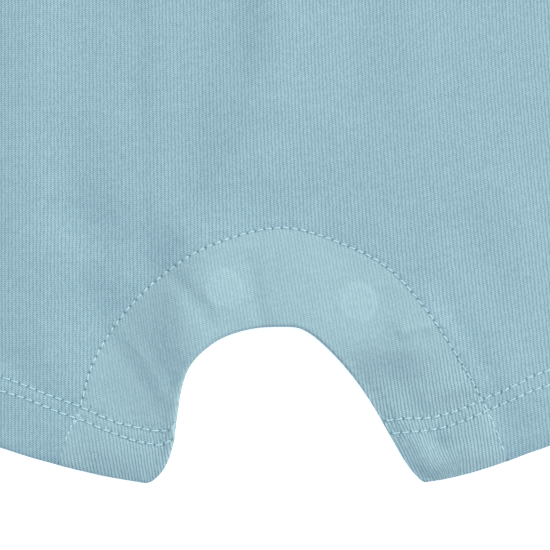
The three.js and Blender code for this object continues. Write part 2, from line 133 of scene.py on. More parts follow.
# Folds and creases of the front: the crest from below upwards, how far it reaches on its
# left and on its right, and how high it stands, or how deep it lies if negative.
FRONT_FOLDS = (
    (((-41, -17.5), (-48.2, -11.6), (-56, -2.1), (-61.7, 9.5), (-63.7, 26.3), (-66.8, 41.8),
      (-67.6, 90), (-64, 168)), 14, 8, 1.2),
    (((-16.5, 30.0), (-9.0, 54.0), (-4.5, 82.0), (-3, 110), (-1, 170)), 9, 45, 0.8),
    (((-17.5, 33.0), (-9.0, 53.0), (-3.5, 82.0), (-2, 120)), 4, 20, 0.35),
    (((-33.3, 19.9), (-34.6, 58.6), (-35.2, 99.8), (-36, 150)), 2.0, 7, 0.35),
    (((-40.5, 2), (-42, 40), (-44, 75)), 6, 6, 0.35),
    (((-27.9, -21.4), (-26.1, -13.2), (-21.7, -6.5), (-14.2, -2.3), (-3.1, -0.8), (4.6, -2.3),
      (9.8, -5.9)), 11, 11, 2.0),
    (((49.3, -24), (45.9, -15), (41.5, -5.9), (36.9, 2.3)), 14, 3.5, 1.6),
    (((-20.5, 2.2), (-27.9, 11.6)), 2.6, 2.3, -0.6),
    (((-6.5, 0.5), (-10.1, 16.8)), 2.2, 2.2, -0.4),
    (((-33.8, -19.4), (-43.3, -0.8)), 2.6, 2.6, -0.15),
    (((-43.2, -0.5), (-37, -8.5), (-31.5, -18.0)), 2.4, 3.0, 0.5),
    (((24.0, -5.2), (29.0, -3.6), (36.0, -1.6)), 4.5, 6.0, 1.2),
    (((30.0, -1.0), (38.6, 0.9)), 3.0, 1.6, 0.9),
    (((36.5, -18.5), (42.0, -16.0), (49.5, -14.5)), 3.2, 2.6, 0.7),
    (((42.5, 3.0), (46.3, -4.0), (49.0, -9.5)), 9, 3.2, 0.7),
    (((-35, -42.5), (-50, -38.8)), 5, 5, -1.5),
    (((36, -42.5), (46, -39.8)), 6, 6, -1.0),
    (((37.0, -36.2), (41.5, -34.9), (46.5, -32.2)), 2.4, 2.4, 0.6),
    (((-56.0, -34.3), (-40.0, -38.0)), 9, 4, 1.1),
    (((38.4, -30.0), (39.0, -29.8)), 2.3, 2.3, -1.0),
    (((-24, 19), (-25, 8), (-25, -4)), 9, 8, 2.2),
    (((-54, 4), (-45, -9), (-38, -19)), 10, 10, -1.9),
    (((-5, 32), (5, 34), (18, 31), (28, 25)), 9, 9, -1.2),
    (((-58, 28), (-46, 22), (-36, 20)), 7, 7, -0.9),
    (((-3, 90), (-3, 60)), 6, 6, 0.9),
    (((-14, 56), (-14, 40)), 8, 8, 0.8),
    (((-5, 53), (-6, 42)), 6, 6, 0.5),
    (((17, 84), (18, 60)), 7, 7, -0.5),
    (((34, 74), (33, 56)), 5, 5, 0.35),
    (((-43, 78), (-41, 58)), 6, 6, -0.45),
    (((-60, 48), (-56, 30)), 8, 8, -0.6),
    (((28, -3), (31, -6)), 5, 5, 0.65),
    (((26, -16), (40, -24)), 8, 8, -1.2),
    (((14, 18), (19, 9), (25, 3)), 7, 7, -0.8),
    (((56, 32), (62, 0), (54, -24)), 8, 8, 0.9),
    (((60, 148), (96, 228)), 12, 12, 3.0),
    (((-72, 182), (-97, 236)), 10, 10, 2.8),
    (((88, 6), (104, 122)), 12, 12, 2.3),
    (((-98, 2), (-112, 96)), 11, 11, 2.6),
    (((38, 232), (16, 296)), 13, 13, 1.9),
    (((-16, 240), (-44, 288)), 12, 12, 2.2),
    (((74, 286), (58, 322)), 10, 10, 1.8),
)
LEFT_SLEEVE_FOLDS = (
    (((-148, 300), (-116, 306)), 8, 8, 1.7),
    (((-150, 272), (-126, 270)), 6, 6, 1.3),
)
RIGHT_SLEEVE_FOLDS = (
    (((146, 290), (118, 318)), 8, 8, 1.9),
    (((132, 266), (152, 276)), 6, 6, 1.2),
)

# -------------------- flat geometry


def smooth(low, high, value):
    t = np.clip((value - low) / (high - low), 0, 1)
    return t * t * (3 - 2 * t)


def curve_through(rows, steps=3):
    """Points of a smooth curve through the rows of a table."""
    p = np.array(rows, float)
    t = np.linspace(0, len(p) - 1, (len(p) - 1) * steps + 1)
    i = np.minimum(t.astype(int), len(p) - 2)
    w = (t - i)[:, None]
    before, a, b, after = p[np.maximum(i - 1, 0)], p[i], p[i + 1], p[np.minimum(i + 2, len(p) - 1)]
    out, back = (b - before) / 2, (after - a) / 2
    return ((2 * a - 2 * b + out + back) * w**3
            + (3 * b - 3 * a - 2 * out - back) * w**2 + out * w + a)


def distance_along(line):
    """How far along a line each of its points lies."""
    return np.concatenate([[0], np.cumsum(np.linalg.norm(np.diff(line, axis=0), axis=1))])


def points_at(line, run, at):
    """Points of a line at places on it, where run holds the place of each of its points."""
    return np.stack([np.interp(at, run, column) for column in line.T], axis=-1)


def resampled(line, spacing):
    """Points spaced evenly along a line, with both of its ends."""
    line = np.asarray(line, float)
    run = distance_along(line)
    at = np.linspace(0, run[-1], max(1, round(run[-1] / spacing)) + 1)
    return points_at(line, run, at)


def normals(line):
    """Unit vectors to the left of a line, at its points."""
    along = np.gradient(line, axis=0)
    along /= np.linalg.norm(along, axis=1)[:, None]
    return np.column_stack([-along[:, 1], along[:, 0]])


def offset(line, distance):
    return line + normals(line) * distance


CHUNK = 4000  # points looked at in one go, to save memory


def nearest(line, points, reach):
    """Distance of each point from a line, and its side: 1 on the left, -1 on the right.
    Points further off than the reach are only given a large distance. The distances take the
    reach's type: where it is a whole number, they are cut down to whole millimetres, and the
    heights made from them go in small steps."""
    line, points = np.asarray(line, float), np.asarray(points, float)
    a, run = line[:-1], np.diff(line, axis=0)
    length = np.linalg.norm(run, axis=1)
    distance, side = np.full(len(points), 10 * reach), np.ones(len(points))
    low, high = line.min(0) - reach, line.max(0) + reach
    close = np.flatnonzero(((points > low) & (points < high)).all(1))
    for start in range(0, len(close), CHUNK):
        part = close[start:start + CHUNK]
        away = points[part, None, :] - a
        held = np.clip((away * run).sum(2) / length**2, 0, 1)
        gap = np.linalg.norm(away - held[..., None] * run, axis=2)
        best = gap.argmin(1)
        rows = np.arange(len(best))
        across = (run[best, 0] * away[rows, best, 1] - run[best, 1] * away[rows, best, 0])
        distance[part] = gap[rows, best]
        side[part] = across / length[best] / np.maximum(gap[rows, best], 1e-9)
    return distance, side


def inside(loop, points):
    """Which points lie inside a closed outline."""
    a, b = loop, np.roll(loop, -1, axis=0)
    found = np.empty(len(points), bool)
    for start in range(0, len(points), CHUNK):
        x, y = points[start:start + CHUNK, 0:1], points[start:start + CHUNK, 1:2]
        spans = (a[:, 1] > y) != (b[:, 1] > y)
        rise = np.where(b[:, 1] == a[:, 1], 1e-12, b[:, 1] - a[:, 1])
        crossing = a[:, 0] + (y - a[:, 1]) * (b[:, 0] - a[:, 0]) / rise
        found[start:start + CHUNK] = (spans & (x < crossing)).sum(1) % 2 == 1
    return found


def mirrored(line):
    return (line * (-1, 1))[::-1]


def neckline(drop, half=NECK_HALF):
    """Half an ellipse that hangs between the inner ends of the shoulders."""
    angle = np.linspace(0, -math.pi, 60)
    return np.column_stack([half * np.cos(angle), NECK_HEIGHT + drop * np.sin(angle)])


crotch_edge = curve_through(CROTCH_EDGE, 4)
arch_seam = curve_through(ARCH_SEAM, 4)
left_hem, right_hem = curve_through(LEFT_HEM, 4), curve_through(RIGHT_HEM, 4)
side_seam, armhole = curve_through(SIDE_SEAM, 3), curve_through(ARMHOLE, 4)
hem_line = np.vstack([left_hem[::-1], right_hem])
free_edges = (left_hem, crotch_edge, right_hem)


def over_hem(points):
    """Height of points over the fold of the leg hem."""
    return points[:, 1] - np.interp(points[:, 0], hem_line[:, 0], hem_line[:, 1])


# -------------------- heights of the cloth


def folds(table, points):
    lift = np.zeros(len(points))
    for crest, left, right, height in table:
        distance, side = nearest(crest, points, 3 * max(left, right))
        reach = (left + right) / 2 + (left - right) / 2 * side
        lift += height * np.exp(-((distance / reach) ** 2))
    return lift


FOLD_MARGIN = 16.0  # folds die out this far from a sewn edge
ARCH_REACH = 24  # the cloth beside the arch seam thickens over this distance
ARCH_SINK, ARCH_SPREAD = 1.0, 7.0  # the hollow that the arch seam lies in
HEM_ROLL, MORE_ROLL, HEM_REACH = 0.2, 0.4, 3.2  # the hems turn down, the right leg's more
NOTCH_LIFT, LIFT_REACH = 0.8, 4.0  # the crotch edge stands up on the left leg
NOTCH_ROLL, ROLL_REACH = 0.9, 7.0  # and turns down on the right leg


def from_snaps(points):
    """Distance of each point from each snap."""
    return [np.linalg.norm(points - centre, axis=1) for centre in SNAPS]


def rim_share(distance, reach):
    """1 on an edge, falling smoothly to 0 at the reach."""
    return (1 - smooth(0, reach, distance)) ** 2


def front_top(points):
    """Height of the front's face, with its folds and the snaps that press through it."""
    up = over_hem(points)
    to_arch = nearest(arch_seam, points, ARCH_REACH)[0]
    beside_arch = np.where(inside(arch_seam, points), 1, 1 - smooth(0, ARCH_REACH, to_arch))
    doubled = np.maximum(1 - smooth(HEM_DEPTH - 2, HEM_DEPTH + 8, up), beside_arch)
    side = np.interp(points[:, 1], side_seam[:, 1], side_seam[:, 0]) - np.abs(points[:, 0])
    under_neck = NECK_HEIGHT - FRONT_NECK_DROP - points[:, 1]
    held = smooth(0, FOLD_MARGIN, side) * smooth(-FOLD_MARGIN, FOLD_MARGIN, under_neck)
    top = 2 * CLOTH + LAYER_GAP + 2 * TURNING * doubled + folds(FRONT_FOLDS, points) * held
    for away in from_snaps(points):
        top += SNAP_LIFT * (1 - smooth(SNAP_RADIUS - 1.2, SNAP_RADIUS + 0.9, away))
        top -= RING_DEPTH * np.exp(-(((away - SNAP_RING) / RING_WIDTH) ** 2))
    top -= ARCH_SINK * np.exp(-((to_arch / ARCH_SPREAD) ** 2))
    return top + edge_curl(points)


def edge_curl(points):
    """How far the free edges stand up, or turn down if negative."""
    x = points[:, 0]
    to_hem = np.min([nearest(edge, points, 4)[0] for edge in (left_hem, right_hem)], axis=0)
    to_notch = nearest(crotch_edge, points, 8)[0]
    curl = -(HEM_ROLL + MORE_ROLL * smooth(-20, 20, x)) * rim_share(to_hem, HEM_REACH)
    lift = NOTCH_LIFT - 0.75 * smooth(-34, -18, x) - 0.5 * smooth(14, 26, x)
    curl += lift * rim_share(to_notch, LIFT_REACH)
    return curl - NOTCH_ROLL * smooth(6, 26, x) * rim_share(to_notch, ROLL_REACH)


def stitched_in(points, rows):
    """How far rows of stitches pull the cloth down."""
    pull = np.zeros(len(points))
    for row, _ in rows:
        pull = np.maximum(pull, np.exp(-((nearest(row, points, 2)[0] / 0.6) ** 2)))
    return pull


# -------------------- meshes


def make_mesh(name, points, faces, knit):
    """A mesh from points in millimetres. knit holds where each point lies in the knit."""
    mesh = bpy.data.meshes.new(name)
    placed = np.asarray(points, float) * MM + (0, CROTCH_Y, 0)
    mesh.from_pydata(placed.tolist(), [], np.asarray(faces).tolist())
    mesh.polygons.foreach_set("use_smooth", np.ones(len(mesh.polygons), bool))
    layer = mesh.attributes.new("knit", "FLOAT_VECTOR", "POINT")
    layer.data.foreach_set("vector", knit.ravel())
    return placed_object(name, mesh)


def placed_object(name, data):
    """A new object in the scene, at the origin."""
    made = bpy.data.objects.new(name, data)
    bpy.context.scene.collection.objects.link(made)
    return made


RINGS = (0.12, 0.35, 0.75, 1.3)  # rows of points just inside an outline
RIM_SPACING = 0.05  # of the outline's points that distances from it are measured to
ROW_RISE = 0.866  # rows of a mesh of equal-sided triangles, in lengths of a side


def tree_distance(line, spacing):
    """A function for the distance of points from a line, to about the spacing."""
    fine = resampled(line, spacing)
    tree = KDTree(len(fine))
    for i, (x, y) in enumerate(fine):
        tree.insert((x, y, 0), i)
    tree.balance()
    return lambda points: np.array([tree.find((x, y, 0))[2] for x, y in points])


def cut_out(outline, grids, extra):
    """A flat panel: points, triangles, and which points are on its outline."""
    loop = np.asarray(outline, float)
    loop = loop[np.linalg.norm(loop - np.roll(loop, 1, axis=0), axis=1) > 1e-3]
    if (loop[:, 0] * np.roll(loop[:, 1], -1) - loop[:, 1] * np.roll(loop[:, 0], -1)).sum() < 0:
        loop = loop[::-1]
    closed = np.vstack([loop, loop[:1]])
    inward = normals(np.vstack([loop[-1:], closed]))[1:-1]
    from_rim = tree_distance(closed, RIM_SPACING)
    kept = []
    for ring in RINGS:
        moved = loop + inward * ring
        kept.append(moved[from_rim(moved) > ring * 0.9])
    for zone, spacing, skip in grids:
        (x0, y0), (x1, y1) = zone
        xs = np.arange(x0, x1, spacing)
        ys = np.arange(y0, y1, spacing * ROW_RISE)
        x, y = np.meshgrid(xs, ys)
        x = x + (np.arange(len(ys)) % 2)[:, None] * spacing / 2
        grid = np.column_stack([x.ravel(), y.ravel()])
        if skip is not None:
            (a, b), (c, d) = skip
            grid = grid[(grid[:, 0] < a) | (grid[:, 0] > c) | (grid[:, 1] < b) | (grid[:, 1] > d)]
        kept.append(grid[from_rim(grid) > RINGS[-1] + spacing * 0.4])
    kept.append(extra[from_rim(extra) > RINGS[0]])
    inner = np.vstack(kept)
    inner = inner[inside(loop, inner)]
    count = len(loop)
    every = [Vector(p) for p in np.vstack([loop, inner])]
    rim_edges = [(i, (i + 1) % count) for i in range(count)]
    flat, _, faces, source, *_ = delaunay_2d_cdt(every, rim_edges, [], 1, 1e-4)
    flat = np.array([tuple(p) for p in flat])
    rim = np.array([any(i < count for i in ids) for ids in source])
    faces = np.array([f for f in faces if len(f) == 3])
    faces = faces[~rim[faces].all(1)]
    a, b, c = flat[faces[:, 0]], flat[faces[:, 1]], flat[faces[:, 2]]
    turn = (b - a)[:, 0] * (c - a)[:, 1] - (b - a)[:, 1] * (c - a)[:, 0]
    faces[turn < 0] = faces[turn < 0][:, ::-1]
    return flat, faces, rim


def rounding(distance, radius):
    """The share of the full thickness at a distance from an edge rounded over a radius."""
    return np.sqrt(np.clip(1 - (1 - np.minimum(distance / radius, 1)) ** 2, 0, 1))


def cloth_panel(name, outline, grids, extra, top_of, bottom_of, edges, knit_of):
    """A closed shell on a flat panel. Each edge has a line, the radius that it is rounded
    over, and the share of the thickness that lies over it. A small share is a cut edge."""
    flat, faces, rim = cut_out(outline, grids, extra)
    top, bottom = top_of(flat), bottom_of(flat)
    bottom = np.minimum(bottom, top - 0.3)
    full, share = np.ones(len(flat)), np.full(len(flat), 0.5)
    for line, radius, over in edges:
        rounded = rounding(nearest(line, flat, radius)[0], radius)
        share = np.where(rounded < full, over, share)
        full = np.minimum(full, rounded)
    full[rim] = 0
    thickness = top - bottom
    upper = top - share * thickness * (1 - full)
    lower = bottom + (1 - share) * thickness * (1 - full)
    below = np.where(rim, np.arange(len(flat)), 0)
    below[~rim] = len(flat) + np.arange((~rim).sum())
    points = np.vstack([np.column_stack([flat, upper]), np.column_stack([flat, lower])[~rim]])
    all_faces = np.vstack([faces, below[faces][:, ::-1]])
    knit = knit_of(flat)
    knit = np.vstack([knit, knit[~rim]])
    used = np.unique(all_faces)
    renumbered = np.zeros(len(points), int)
    renumbered[used] = np.arange(len(used))
    made = make_mesh(name, points[used], renumbered[all_faces], knit[used])
    cut = np.zeros(len(points), bool)
    cut[:len(flat)] = rim & (share < 0.1)
    ends = np.empty(2 * len(made.data.edges), np.int32)
    made.data.edges.foreach_get("vertices", ends)
    made.data.edges.foreach_set("use_edge_sharp", cut[used][ends.reshape(-1, 2)].all(1))
    return made


def steps_round(ring):
    """The distance from each point of a ring to the next one."""
    return np.linalg.norm(np.diff(ring, axis=0, append=ring[:1]), axis=1)


def knit_round(ring, across):
    """Where the cloth of a tube lies in the knit: round a ring of it, and across it."""
    around = np.concatenate([[0], np.cumsum(steps_round(ring))[:-1]])
    return np.stack(np.broadcast_arrays(around[:, None], across[None, :], 0.0), axis=-1)


def loop_normals(middle):
    """Unit vectors square to a surface that runs round a loop."""
    along = np.roll(middle, -1, 0) - np.roll(middle, 1, 0)
    normal = np.cross(along, np.gradient(middle, axis=1))
    return normal / np.linalg.norm(normal, axis=2)[..., None]


TUBE_ROUND = 0.7  # how far in the open edges of a tube are rounded


def cloth_tube(name, middle, thickness, knit):
    """A closed wall on a surface that runs round a loop. middle[i, j] is point i round the
    loop and j across it."""
    around, across = middle.shape[:2]
    run = np.linalg.norm(np.diff(middle, axis=1), axis=2).mean(0)
    at = np.concatenate([[0], np.cumsum(run)])
    full = rounding(np.minimum(at, at[-1] - at), TUBE_ROUND)
    half = np.broadcast_to(thickness, (around, across)) / 2 * full
    wall = loop_normals(middle) * half[..., None]
    outer, inner = middle + wall, (middle - wall)[:, 1:-1]
    points = np.vstack([outer.reshape(-1, 3), inner.reshape(-1, 3)])
    first = np.arange(around * across).reshape(around, across)
    second = first.copy()
    second[:, 1:-1] = around * across + np.arange(around * (across - 2)).reshape(around, -1)
    faces = []
    for grid, flip in ((first, False), (second, True)):
        a, b = grid[:, :-1], np.roll(grid, -1, 0)[:, :-1]
        c, d = np.roll(grid, -1, 0)[:, 1:], grid[:, 1:]
        quads = np.stack([a, b, c, d], axis=2).reshape(-1, 4)
        faces.append(quads[:, ::-1] if flip else quads)
    knit = np.vstack([knit.reshape(-1, 3), knit[:, 1:-1].reshape(-1, 3)])
    return make_mesh(name, points, np.vstack(faces), knit)


def face_outwards(mesh):
    """Turn a closed mesh's faces over if they point inwards."""
    mesh.calc_loop_triangles()
    points = np.empty(3 * len(mesh.vertices))
    mesh.vertices.foreach_get("co", points)
    ids = np.empty(3 * len(mesh.loop_triangles), int)
    mesh.loop_triangles.foreach_get("vertices", ids)
    corners = points.reshape(-1, 3)[ids.reshape(-1, 3)]
    volume = np.einsum("ij,ij->", corners[:, 0], np.cross(corners[:, 1], corners[:, 2]))
    if volume < 0:
        mesh.flip_normals()


# -------------------- outlines of the panels

SEAM_OVERLAP = 0.03  # sewn edges run this far over their seams, so no light comes through


def meeting(line, other):
    """Where two lines cross: a place on the first, as its point's number and a share."""
    for i in range(len(line) - 1):
        a, u = line[i], line[i + 1] - line[i]
        for j in range(len(other) - 1):
            b, v = other[j], other[j + 1] - other[j]
            turn = u[0] * v[1] - u[1] * v[0]
            if abs(turn) < 1e-12:
                continue
            s = ((b[0] - a[0]) * v[1] - (b[1] - a[1]) * v[0]) / turn
            t = ((b[0] - a[0]) * u[1] - (b[1] - a[1]) * u[0]) / turn
            if 0 <= s <= 1 and 0 <= t <= 1:
                return i + s
    raise ValueError("the two lines do not cross")


def stretch(line, start, end):
    """The part of a line between two places on it."""
    whole = np.arange(len(line), dtype=float)
    at = np.concatenate([[start], whole[(whole > start) & (whole < end)], [end]])
    return points_at(line, whole, at)


def inner_hems(seam):
    """Both leg hems from their inner corners as far as a seam, and the seam between them."""
    left = stretch(left_hem, 0, meeting(left_hem, seam))
    right = stretch(right_hem, 0, meeting(right_hem, seam))
    run = stretch(seam, meeting(seam, left_hem), meeting(seam, right_hem))
    return left, right, run


def body_outline(drop):
    seam = offset(arch_seam, -SEAM_OVERLAP)
    left = stretch(left_hem, meeting(left_hem, seam), len(left_hem) - 1)
    right = stretch(right_hem, meeting(right_hem, seam), len(right_hem) - 1)
    run = inner_hems(seam)[2]
    right_side = np.vstack([side_seam, offset(armhole, -SEAM_OVERLAP)[1:]])
    neck = neckline(drop - SEAM_OVERLAP, NECK_HALF - SEAM_OVERLAP)
    parts = (run[::-1], left, mirrored(right_side)[::-1], neck[::-1], right_side[::-1],
             right[::-1])
    return np.vstack([resampled(part, 1.1)[:-1] for part in parts])


def band_outline():
    left, right, run = inner_hems(offset(arch_seam, SEAM_OVERLAP))
    parts = (run[::-1], left[::-1], crotch_edge, right)
    return np.vstack([resampled(part, 0.75)[:-1] for part in parts])


def flat_size(outline):
    """Width, length and area of a flat outline, in metres."""
    x, y = outline[:, 0] * MM, outline[:, 1] * MM
    area = abs((x * np.roll(y, -1) - y * np.roll(x, -1)).sum()) / 2
    return (np.ptp(x), np.ptp(y)), area


# -------------------- rows of stitches

PER_STITCH = 8  # points of the cloth and of the thread along a stitch
HOLE = 0.34  # how far a needle hole's shade reaches
BESIDE_ROW = (-1.0, -0.66, -0.33, 0, 0.33, 0.66, 1.0)  # lines of fine cloth along a row
# Sewn twice over, where the left end of the arch meets the leg hem.
BACKTACK = np.array([(-54.0, -22.4), (-55.7, -25.6), (-57.4, -29.7)])
hem_rows = [curve_through(row, 4) for row in HEM_ROWS]
arch_row = offset(arch_seam, -ROW_START)


def seam_end():
    """The row that goes on down the right end of the arch, through the turned hem."""
    x, y = arch_row.T
    return arch_row[(x > 0) & (y < -22) & (y > -33.5)]


def front_rows():
    """The front's rows with their pitches: the arch's, from the left hem's upper row to the
    right hem's lower one, and then the hems'."""
    settings = bpy.context.scene.romper_stitches
    seam, hem = settings.seam_pitch / MM, settings.hem_pitch / MM
    start, end = meeting(arch_row, hem_rows[0]), meeting(arch_row, hem_rows[3])
    return [(stretch(arch_row, start, end), seam)] + [(row, hem) for row in hem_rows]


def recess(points, rows):
    """1 in a needle hole and 0 on open cloth. The front's face sinks in there, and the jersey
    paints shade there.
    """
    deep = np.zeros(len(points))
    for row, pitch in rows:
        holes = resampled(row, pitch)
        close = np.flatnonzero(nearest(row, points, 4 * HOLE)[0] < 4 * HOLE)
        if len(close):
            away = np.linalg.norm(points[close, None, :] - holes, axis=2).min(1)
            deep[close] = np.maximum(deep[close], np.exp(-((away / HOLE) ** 2)))
    return deep


def stitch_mesh(rows):
    """Points in lines along the rows, for the fine cloth round their stitches."""
    return np.vstack([offset(resampled(row, pitch / PER_STITCH), reach)
                      for row, pitch in rows for reach in BESIDE_ROW])


# -------------------- how the knit lies


def body_knit(points):
    """The bodies' knit, leaning more to the right and towards the hems."""
    x, y = points.T
    below = 14 * np.logaddexp(0, (84 - y) / 14)
    drawn = 1.3 * np.logaddexp(0, (x + 28) / 8)
    return x - 0.12 * below * smooth(-75, 110, x), y - 0.03 * x - drawn


def band_knit(points):
    """The bands' knit, bunched in the left leg's corner and led along the right leg's edge."""
    x, y = points.T
    to_notch = nearest(crotch_edge, points, 8)[0]
    led = (1 - smooth(1, 12, to_notch)) * smooth(0, 10, x)
    return (x + 0.16 * y + 1.6 * smooth(-45, -29, x) + 0.3 * led * np.minimum(y + 24, 0),
            y - 0.24 * x)


def knit_field(knit, rows):
    """Where the cloth lies in the knit, and 1 in a needle hole, where the jersey paints shade,
    or -1 where a snap's disc draws it tight, where the jersey paints a highlight."""
    def field(points):
        u, v = knit(points)
        # Painted highlight: the mask of the snaps' raised discs, which the jersey lightens.
        drawn = 1 - smooth(SNAP_RADIUS, SNAP_RADIUS + 1.2, np.min(from_snaps(points), axis=0))
        return np.column_stack([u, v, recess(points, rows) - drawn])
    return field


# -------------------- the panels


# Two corners of the parts that are filled with a grid of points.
WHOLE, BAND_ZONE = ((-150, -50), (150, 380)), ((-62, -48), (62, 28))
FINE_ZONE = ((-82, -50), (82, 92))
SEAM_WIDTH = 0.8  # of the groove along the arch seam
SEAM_GROOVE, ROW_GROOVE, HOLE_DEPTH = 0.03, 0.08, 0.15  # in the front's face
UNDER_GROOVE = 0.1  # the same three from below, in the back
HEM_ROUND = 0.95  # how far in a folded edge is rounded
CUT_EDGE = (0.12, 0.02)  # the radius and the share of an edge cut square
SHOULDER_LINE = np.array([SHOULDER, (NECK_HALF, NECK_HEIGHT)], float)


def seam_groove(points):
    return np.exp(-((nearest(arch_seam, points, 3)[0] / SEAM_WIDTH) ** 2))


def front_face(points, rows):
    """The front's upper surface with the seam and the stitches pressed into it."""
    top = front_top(points)
    top -= SEAM_GROOVE * seam_groove(points)
    top -= ROW_GROOVE * stitched_in(points, rows)
    return top - HOLE_DEPTH * recess(points, rows)


def in_turning(points):
    """1 where the leg hem is turned up, and 0 above it."""
    return 1 - smooth(HEM_DEPTH, HEM_DEPTH + 1.5, over_hem(points))


def snap_room(points):
    """1 where a snap lies between the plies of the bands, and 0 elsewhere."""
    return sum(1 - smooth(SNAP_RADIUS + 0.3, SNAP_RADIUS + 1.4, away)
               for away in from_snaps(points))


def front_under(points, in_band):
    """The front's lower surface, which rests on the back near the free edges."""
    leg = in_turning(points)
    near_band = 1 - smooth(0, ARCH_REACH, nearest(arch_seam, points, ARCH_REACH)[0])
    doubled = np.ones(len(points)) if in_band else np.maximum(leg, near_band)
    base = CLOTH + TURNING * doubled + LAYER_GAP
    thickness = CLOTH + TURNING * (1 if in_band else leg)
    to_free = np.min([nearest(edge, points, 12)[0] for edge in free_edges], axis=0)
    lifted = np.maximum(front_top(points) - thickness - base, 0)
    under = base + lifted * smooth(1.0, 12.0, to_free)
    if in_band:
        under += (SOCKET_TOP + 0.1 - DOUBLE - LAYER_GAP) * snap_room(points)
    return under


def back_face(points, in_band):
    if in_band:
        return DOUBLE - (DOUBLE - SNAP_WEB) * snap_room(points)
    return CLOTH + TURNING * in_turning(points)


def back_under(points, rows):
    return UNDER_GROOVE * (
        seam_groove(points) + stitched_in(points, rows) + recess(points, rows))


def side_edges():
    """Lines, radii and shares for the edges that both bodies have."""
    both = []
    for line, radius, over in ((side_seam, 0.7, 0.5), (armhole, 0.5, 0.35),
                               (SHOULDER_LINE, 0.6, 0.5)):
        both += [(line, radius, over), (mirrored(line), radius, over)]
    return both + [(left_hem, HEM_ROUND, 0.5), (right_hem, HEM_ROUND, 0.5)]


def make_panel(name, front, in_band):
    """The front or the back, either its body or its crotch band, and its flat size."""
    rows = front_rows()
    if in_band:
        outline, knit = band_outline(), band_knit
        grids = [(BAND_ZONE, 0.75 if front else 0.9, None)]
        edges = [(left_hem, HEM_ROUND, 0.5), (crotch_edge, 0.6 if front else HEM_ROUND, 0.5),
                 (right_hem, HEM_ROUND, 0.5)]
    else:
        drop = FRONT_NECK_DROP if front else BACK_NECK_DROP
        outline, knit = body_outline(drop), body_knit
        grids = [(WHOLE, 2.6, None)]
        if front:
            grids = [(FINE_ZONE, 1.1, None), (WHOLE, 3.0, FINE_ZONE)]
        edges = side_edges() + [(neckline(drop), 0.5, 0.35)]
    if front:
        edges.append((arch_seam, *CUT_EDGE))
        top_of, under_of = lambda p: front_face(p, rows), lambda p: front_under(p, in_band)
    else:
        edges.append((arch_seam, 0.35, 0.5))
        top_of, under_of = lambda p: back_face(p, in_band), lambda p: back_under(p, rows)
    cloth = cloth_panel(name, outline, grids, stitch_mesh(rows), top_of, under_of, edges,
                        knit_field(knit, rows))
    return cloth, flat_size(outline)


# -------------------- sleeves

OUT = np.array([math.cos(SLEEVE_FALL), -math.sin(SLEEVE_FALL)])
DOWN = np.array([-math.sin(SLEEVE_FALL), -math.cos(SLEEVE_FALL)])
CUFF_TOP = np.array(SHOULDER) + SLEEVE_LENGTH * OUT
CUFF_END = CUFF_TOP + CUFF_WIDTH * DOWN


def rows_across(length, fine_at, step=1.4):
    """Distances across a tube, closer together at its rims and round its stitches."""
    marks = [0, 0.08, 0.25, 0.5, 0.8, 1.2]
    at = set(marks) | {length - mark for mark in marks}
    for centre in fine_at:
        at |= {centre + d for d in (-0.9, -0.6, -0.3, 0, 0.3, 0.6, 0.9)}
    held = np.array(sorted(at))
    filled = [held[:1]]
    for a, b in zip(held, held[1:]):
        filled.append(np.linspace(a, b, max(1, round((b - a) / step)) + 1)[1:])
    return np.concatenate(filled)


SLEEVE_ROWS = (11.0, 14.6)  # the stitches of a sleeve hem, over its fold
SLEEVES = (("left", -1, LEFT_SLEEVE_FOLDS), ("right", 1, RIGHT_SLEEVE_FOLDS))


def sleeve_place(across, along):
    """Flat points of the right sleeve: across from its top fold as a share, along from the
    armhole as a share."""
    hole = offset(armhole, SEAM_OVERLAP)[::-1]
    run = distance_along(hole)
    start = points_at(hole, run, np.clip(across, 0, 1) * run[-1])
    end = CUFF_TOP + (CUFF_END - CUFF_TOP) * np.clip(across, 0, 1)[..., None]
    return start + (end - start) * along[..., None]


def sleeve_middle(side, folds_table):
    """Middle surface of a sleeve, round it and along it, with its thickness and its knit."""
    length = rows_across(SLEEVE_LENGTH, [SLEEVE_LENGTH - row for row in SLEEVE_ROWS])
    along = length / SLEEVE_LENGTH
    thick = CLOTH + TURNING * smooth(-1.5, 0.5, length - SLEEVE_LENGTH + HEM_DEPTH)
    low, high = thick / 2, 1.5 * thick + LAYER_GAP
    radius, centre = (high - low) / 2, (high + low) / 2
    inset = (thick / 2 + radius) / CUFF_WIDTH
    turns = np.linspace(-90, 90, 11)[1:-1]
    flat = np.linspace(0, 1, 54)
    loops = []
    for share in flat:
        loops.append((inset + (1 - 2 * inset) * share, high, 1.0))
    for turn in np.radians(turns):
        bulge = 1 - inset + radius * math.cos(turn) / CUFF_WIDTH
        loops.append((bulge, centre - radius * math.sin(turn), 0.0))
    for share in flat[::-1]:
        loops.append((inset + (1 - 2 * inset) * share, low, 0.0))
    for turn in np.radians(turns):
        bulge = inset - radius * math.cos(turn) / CUFF_WIDTH
        loops.append((bulge, centre + radius * math.sin(turn), 0.0))
    middle = np.empty((len(loops), len(along), 3))
    for i, (across, height, upper) in enumerate(loops):
        place = sleeve_place(np.broadcast_to(across, along.shape).astype(float), along)
        place = place * (side, 1)
        held = smooth(0, 0.16, across) * smooth(0, 0.16, 1 - across)
        held = held * smooth(0, 0.2, along) * smooth(0, 0.2, 1 - along)
        lift = folds(folds_table, place) * held * upper
        middle[i] = np.column_stack([place, height + lift])
    return middle, np.broadcast_to(thick, middle.shape[:2]), knit_round(middle[:, -1], length)


def surface_area(middle):
    """Area of a closed loop surface, in square metres."""
    a = np.roll(middle, -1, 0)[:, :-1] - middle[:, :-1]
    b = middle[:, 1:] - middle[:, :-1]
    return np.linalg.norm(np.cross(a, b), axis=2).sum() * MM * MM


